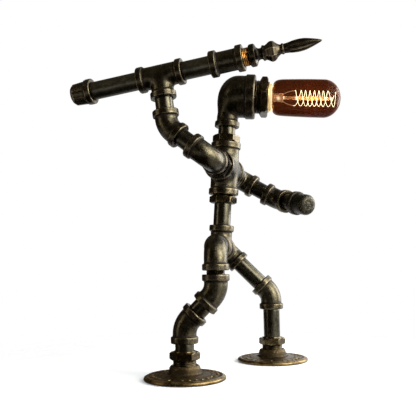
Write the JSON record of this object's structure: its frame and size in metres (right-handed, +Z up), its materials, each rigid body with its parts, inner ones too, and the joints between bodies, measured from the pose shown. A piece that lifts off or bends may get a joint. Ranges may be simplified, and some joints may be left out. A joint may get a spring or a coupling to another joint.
{
  "type": "robot shaped desk lamp",
  "caption": "Desk lamp built from threaded pipe fittings as a striding figure: floor flanges for feet, an elbow with an amber bulb for a head and a pipe spear held over the shoulder.",
  "frame": {"origin": "middle of the lamp's length and width, on the table under the feet", "axes": "+X the way the figure faces and its bulb points, +Y to its far side (away from the spear), +Z up"},
  "size_m": [0.3258, 0.227, 0.3746],
  "materials": {
    "iron": "antique bronze-black patina, rubbed bright on the bands",
    "worn_iron": "antique patina, worn to bronze on the corners",
    "flange_iron": "antique patina with a bronze rim",
    "pipe_steel": "dark antique patina",
    "copper": "aged copper",
    "brass": "rolled, bright",
    "screw_steel": "plated",
    "ceramic": "glazed, warm in the bulb's light",
    "amber_glass": "clear amber",
    "clear_glass": "clear",
    "cap_metal": "rolled sheet",
    "black_glass": "fused black glass",
    "filament": "glowing",
    "lead_wire": "drawn",
    "wire_sleeve": "smooth",
    "rubber": "matt"
  },
  "bodies": {
    "stand": {"near_foot_flange": "flange_iron", "near_ankle_bushing": "worn_iron", "near_ankle_pipe": "pipe_steel", "near_ankle_elbow": "iron", "near_shin_pipe": "pipe_steel", "near_knee_elbow": "iron", "near_thigh_pipe": "pipe_steel", "near_hip_elbow": "iron", "near_hip_pipe": "pipe_steel", "hip_tee": "iron", "far_hip_pipe": "pipe_steel", "far_hip_elbow": "iron", "far_thigh_pipe": "pipe_steel", "far_knee_elbow": "iron", "far_shin_pipe": "pipe_steel", "far_ankle_bushing": "worn_iron", "far_foot_flange": "flange_iron", "torso_pipe": "pipe_steel", "waist_bushing": "worn_iron", "chest_cross": "iron", "collar_bushing": "worn_iron", "neck_pipe": "pipe_steel", "near_shoulder_bushing": "worn_iron", "near_shoulder_pipe": "pipe_steel", "far_shoulder_bushing": "worn_iron", "far_shoulder_pipe": "pipe_steel", "cord_grommet": "rubber", "supply_wires": "wire_sleeve"},
    "head": {"head_elbow": "iron", "face_bushing": "worn_iron", "holder_body": "ceramic", "holder_shell": "brass", "holder_contact": "brass", "terminal_screws": "screw_steel", "head_wires": "wire_sleeve", "wire_splices": "screw_steel"},
    "bulb": {"bulb_glass": "amber_glass", "bulb_cap": "cap_metal", "bulb_cap_insulator": "black_glass", "bulb_stem": "clear_glass", "bulb_leads": "lead_wire", "bulb_filament": "filament"},
    "near_arm": {"near_shoulder_elbow": "iron", "near_arm_pipe": "pipe_steel", "near_elbow": "iron", "near_forearm_pipe": "pipe_steel"},
    "spear": {"spear_tee": "iron", "spear_rear_pipe": "pipe_steel", "spear_end_cap": "iron", "spear_front_pipe": "pipe_steel", "spear_coupling": "iron", "spear_copper_pipe": "copper", "spear_point": "iron"},
    "far_arm": {"far_shoulder_elbow": "iron", "far_arm_pipe": "pipe_steel"},
    "far_hand": {"far_elbow": "iron", "far_wrist_pipe": "pipe_steel", "fist_cap": "iron"}
  },
  "joints": [
    {"name": "head_turn", "type": "hinge", "parent": "stand", "child": "head", "pos_m": [0.02101, 0, 0.29799], "axis": [0.0698, 0, 0.9976], "range_deg": [-15, 60]},
    {"name": "bulb_screw", "type": "hinge", "parent": "head", "child": "bulb", "pos_m": [0.07897, 0, 0.33404], "axis": [0.9976, 0, -0.0698], "range_deg": [-360, 0]},
    {"name": "near_shoulder", "type": "hinge", "parent": "stand", "child": "near_arm", "pos_m": [0.0066, -0.07655, 0.24607], "axis": [0.1388, 0.9903, -0.0097], "range_deg": [-30, 30]},
    {"name": "spear_swivel", "type": "hinge", "parent": "near_arm", "child": "spear", "pos_m": [-0.05009, -0.06761, 0.34671], "axis": [-0.12, 0.0266, 0.9924], "range_deg": [-12, 10]},
    {"name": "far_shoulder", "type": "hinge", "parent": "stand", "child": "far_arm", "pos_m": [0.02806, 0.07655, 0.24457], "axis": [0.1388, 0.9903, -0.0097], "range_deg": [-30, 25]},
    {"name": "far_forearm", "type": "hinge", "parent": "far_arm", "child": "far_hand", "pos_m": [0.08308, 0.06851, 0.21188], "axis": [0.8529, -0.1246, -0.5069], "range_deg": [-45, 45]}
  ]
}
